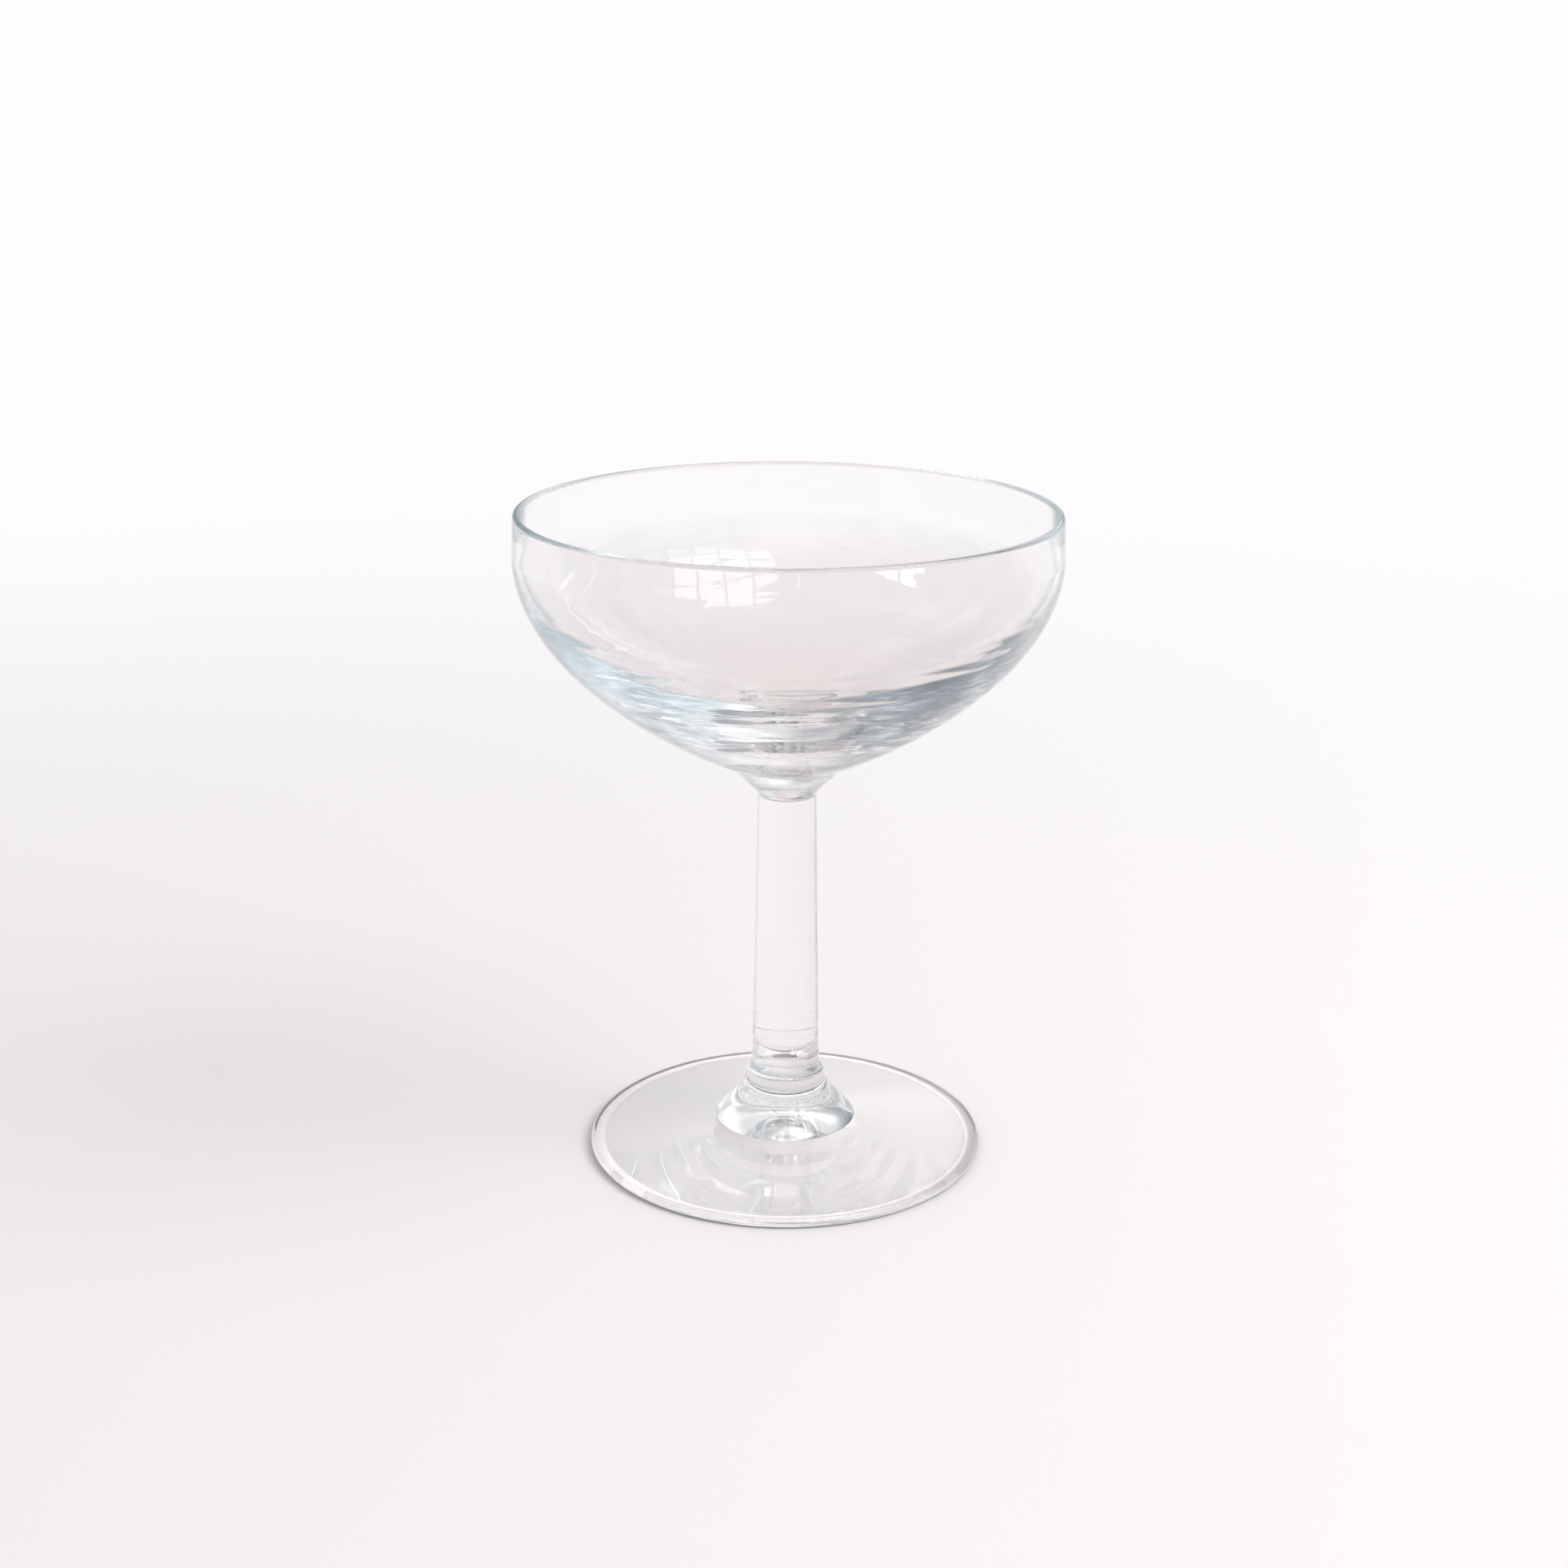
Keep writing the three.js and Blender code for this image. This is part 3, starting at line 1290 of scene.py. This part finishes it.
@dataclass(frozen=True)
class Surroundings:
    """The room, as the glass sees it, and the even light that it gives.

    Attributes:
        horizon: Colour of the backdrop, which the camera sees and which shows low down in the glass.
        cove: Sine of the elevations between which the backdrop turns into the room.
        room: Colour of the room.
        patches: Where the room is lighter or darker. A later one lies over an earlier one.
        clutter: Brightness of the darkest and the lightest things in the room, as shares of its own.
        clutter_pitches: Size of the things along X, Y and Z, as shares of their distance.
        clutter_range: Values of the pattern at which they are darkest and lightest.
        aisle: How far to either side of the camera's line there are no things, and where all of them are,
            as sines of the angle.
        ambient: Strength of the soft light from all round.
        ambient_colour: Its colour.
    """

    horizon: Colour
    cove: tuple[float, float] = (0.0, 0.1)
    room: Colour = (0.83, 0.815, 0.81)
    patches: tuple[Patch, ...] = (
        Patch(100.0, 20.0, 25.0, 70.0, (0.58, 0.69, 0.755)),
        Patch(78.0, 8.0, 3.0, 13.0, (0.40, 0.48, 0.55)),
        Patch(112.0, 33.0, 3.0, 14.0, (0.40, 0.48, 0.55)),
        Patch(140.0, 14.0, 3.0, 10.0, (0.95, 0.98, 1.0)),
        Patch(0.0, 90.0, 10.0, 40.0, (0.80, 0.78, 0.77)),
        Patch(176.0, 42.0, 9.0, 24.0, (0.98, 0.985, 0.99)),
        Patch(-60.0, 62.0, 10.0, 45.0, (0.40, 0.40, 0.41)),
        Patch(-120.0, 22.0, 17.0, 64.0, (0.22, 0.26, 0.30)),
        Patch(-142.0, 34.0, 2.0, 10.0, (0.78, 0.85, 0.92)),
        Patch(-104.0, 12.0, 2.0, 8.0, (0.70, 0.77, 0.84)),
        Patch(-122.0, 52.0, 2.0, 9.0, (0.74, 0.80, 0.87)),
        Patch(-165.0, 12.0, 4.0, 14.0, (0.46, 0.49, 0.52)),
        Patch(-168.0, 52.0, 10.0, 26.0, (0.97, 0.96, 0.96)),
        Patch(166.0, 27.0, 8.0, 18.0, (1.4, 1.4, 1.4)),
        Patch(0.0, 33.0, 8.0, 22.0, (1.06, 1.05, 1.04)),
    )
    clutter: tuple[float, float] = (0.55, 1.35)
    clutter_pitches: Colour = (0.3, 0.3, 0.12)
    clutter_range: tuple[float, float] = (0.35, 0.65)
    aisle: tuple[float, float] = (0.12, 0.45)
    ambient: float = 0.61
    ambient_colour: Colour = (1.0, 0.985, 0.98)

    def build(self) -> None:
        """Make the world. Clear rays and mirror rays see the room, and the camera the backdrop."""
        world = bpy.data.worlds.new("surroundings")
        bpy.context.scene.world = world
        world.use_nodes = True
        nodes = Nodes(world.node_tree, "ShaderNodeOutputWorld")
        room = self._room(nodes)
        backdrop = self._plain(nodes, self.horizon, 1.0)
        light = self._plain(nodes, self.ambient_colour, self.ambient)
        shown = nodes.chosen(("Is Glossy Ray", "Is Transmission Ray"), light, room)
        nodes.join(nodes.chosen(("Is Camera Ray",), shown, backdrop), nodes.output.inputs["Surface"])

    def _plain(self, nodes: Nodes, colour: Colour, strength: float) -> bpy.types.NodeSocket:
        """Return a socket with an even background."""
        plain = nodes.add("ShaderNodeBackground")
        plain.inputs["Color"].default_value = opaque(colour)
        plain.inputs["Strength"].default_value = strength
        return plain.outputs["Background"]

    def _room(self, nodes: Nodes) -> bpy.types.NodeSocket:
        """Return a socket with the room."""
        direction = nodes.add("ShaderNodeTexCoord").outputs["Generated"]
        parts = nodes.split(direction)
        low = nodes.ranged(parts["Z"], self.cove, (1.0, 0.0), Ramp.SOFT)
        colour: Colour | bpy.types.NodeSocket = self.room
        for patch in self.patches:
            near = nodes.length("DOT_PRODUCT", direction, heading(patch.azimuth, patch.elevation))
            limits = math.cos(math.radians(patch.reach)), math.cos(math.radians(patch.core))
            share = nodes.ranged(near, limits, (0.0, 1.0), Ramp.SOFT)
            colour = nodes.blended(share, colour, patch.colour)
        clutter = nodes.noise_at(direction, self.clutter_pitches, detail=2.5, warp=0.4)
        strength = nodes.ranged(clutter, self.clutter_range, self.clutter, Ramp.SOFT)
        full = nodes.ranged(nodes.number("ABSOLUTE", parts["X"]), self.aisle, (0.0, 1.0), Ramp.SOFT)
        level = nodes.add("ShaderNodeMix", data_type="FLOAT")
        level.inputs["A"].default_value = 1.0
        nodes.join(strength, level.inputs["B"])
        nodes.join(full, level.inputs["Factor"])
        room = nodes.add("ShaderNodeBackground")
        nodes.join(colour, room.inputs["Color"])
        nodes.join(level.outputs["Result"], room.inputs["Strength"])
        return nodes.mixed(low, room.outputs["Background"], self._plain(nodes, self.horizon, 1.0))


@dataclass(frozen=True)
class Studio:
    """Pale floor that runs into a pale backdrop, soft surroundings and windows.

    Attributes:
        floor_radii: Radii of the floor's rings, in millimetres.
        floor_steps: How many steps it has once round.
        near_colour: Colour of the floor under the glass.
        mottle_pitch: Size of the floor's faint mottle, in millimetres.
        mottle_dark: What its darkest parts keep of the colour.
        roughness: How matt the floor is.
        gloss: Its specular level.
        far_colour: Colour that the floor and the backdrop have far behind it.
        pool: Middle of the part of the floor that has its near colour.
        fade: Where the floor starts and ends turning into the backdrop, in millimetres from there.
        front_panes: How bright the panes of the front window are.
        left_panes: How bright those of the left window are.
    """

    floor_radii: tuple[float, ...] = (60.0, 200.0, 900.0, 6000.0)
    floor_steps: int = 96
    near_colour: Colour = (0.955, 0.922, 0.932)
    mottle_pitch: float = 40.0
    mottle_dark: float = 0.992
    roughness: float = 0.85
    gloss: float = 0.2
    far_colour: Colour = (0.99, 0.975, 0.99)
    pool: Colour = (-60.0, -130.0, 0.0)
    fade: tuple[float, float] = (120.0, 760.0)
    front_panes: tuple[tuple[float, ...], ...] = (
        (0.0, 0.0, 0.4, 1.0),
        (0.0, 1.4, 4.0, 4.0),
        (1.2, 4.0, 4.0, 4.0),
        (2.2, 4.0, 4.0, 4.0),
        (1.0, 4.0, 4.0, 4.0),
    )
    left_panes: tuple[tuple[float, ...], ...] = ((5.0,), (5.0,), (1.6,))

    def build(self) -> None:
        """Make the floor, the surroundings and the windows."""
        self._floor()
        Surroundings(self.far_colour).build()
        for window in (
            WindowLamp("key", Role.LIGHTS, 76.0, 44.0, 900.0, 900.0, ((5.6,),), colour=(0.985, 0.995, 1.0)),
            WindowLamp(
                "front_window", Role.SHOWS, 50.8, 49.5, 517.0, 1390.0, self.front_panes, bar=30.0, roll=64.5
            ),
            WindowLamp(
                "left_window", Role.MIRRORED, -83.0, 60.0, 110.0, 720.0, self.left_panes, bar=40.0, roll=-38.0
            ),
            WindowLamp("low_window", Role.SHOWS, 133.0, 17.0, 2000.0, 30.0, ((1.8,),)),
            WindowLamp("roof_window", Role.SHOWS, -25.0, 82.0, 12.0, 90.0, ((3.0,),)),
        ):
            window.build()

    def _floor(self) -> None:
        """Make the floor, whose far part shows the backdrop's colour."""
        mesh = bpy.data.meshes.new("floor")
        steps = self.floor_steps
        verts = [(0.0, 0.0, 0.0)]
        faces: list[tuple[int, ...]] = []
        for ring, radius in enumerate(self.floor_radii):
            for step in range(steps):
                angle = step / steps * math.tau
                verts.append((radius * math.cos(angle) * MM, radius * math.sin(angle) * MM, 0.0))
                this, following = 1 + ring * steps + step, 1 + ring * steps + (step + 1) % steps
                if ring == 0:
                    faces.append((0, this, following))
                else:
                    faces.append((this - steps, this, following, following - steps))
        mesh.from_pydata(verts, [], faces)
        mesh.update()
        floor = bpy.data.objects.new("floor", mesh)
        bpy.context.scene.collection.objects.link(floor)
        mesh.materials.append(self._floor_finish())

    def _floor_finish(self) -> bpy.types.Material:
        """Make the floor's material."""
        recipe = Recipe("pale_floor")
        place = recipe.place()
        near = recipe.add("ShaderNodeBsdfPrincipled")
        near.inputs["Roughness"].default_value = self.roughness
        near.inputs["Specular IOR Level"].default_value = self.gloss
        mottle = recipe.noise_at(place, grey(self.mottle_pitch), detail=4.0)
        shade = tuple(part * self.mottle_dark for part in self.near_colour)
        recipe.join(recipe.blended(mottle, self.near_colour, shade), near.inputs["Base Color"])
        far = recipe.add("ShaderNodeEmission")
        far.inputs["Color"].default_value = opaque(self.far_colour)
        away = recipe.length("DISTANCE", place, self.pool)
        share = recipe.ranged(away, self.fade, (0.0, 1.0), Ramp.SOFT)
        shown = recipe.mixed(share, near.outputs["BSDF"], far.outputs["Emission"])
        recipe.join(shown, recipe.output.inputs["Surface"])
        return recipe.material


def set_light_paths() -> None:
    """Let light be handed on inside thick glass as often as it needs, and show colours as written."""
    scene = bpy.context.scene
    scene.view_settings.view_transform = "Standard"
    bounces, surfaces_passed = 200, 32
    scene.cycles.max_bounces = bounces
    scene.cycles.transmission_bounces = bounces
    scene.cycles.glossy_bounces = bounces
    scene.cycles.transparent_max_bounces = surfaces_passed
    scene.cycles.use_denoising = True


def main() -> None:
    """Build the camera, the coupe from the foot up and then the studio, and set the light paths."""
    logging.basicConfig(level=logging.INFO, format="%(name)s: %(message)s")
    PhotoCamera().build()
    for gather in (FootDisc(), FootBoss(), Stem(), Collar(), Bowl()):
        gather.build()
    Studio().build()
    set_light_paths()


if __name__ == "__main__":
    main()
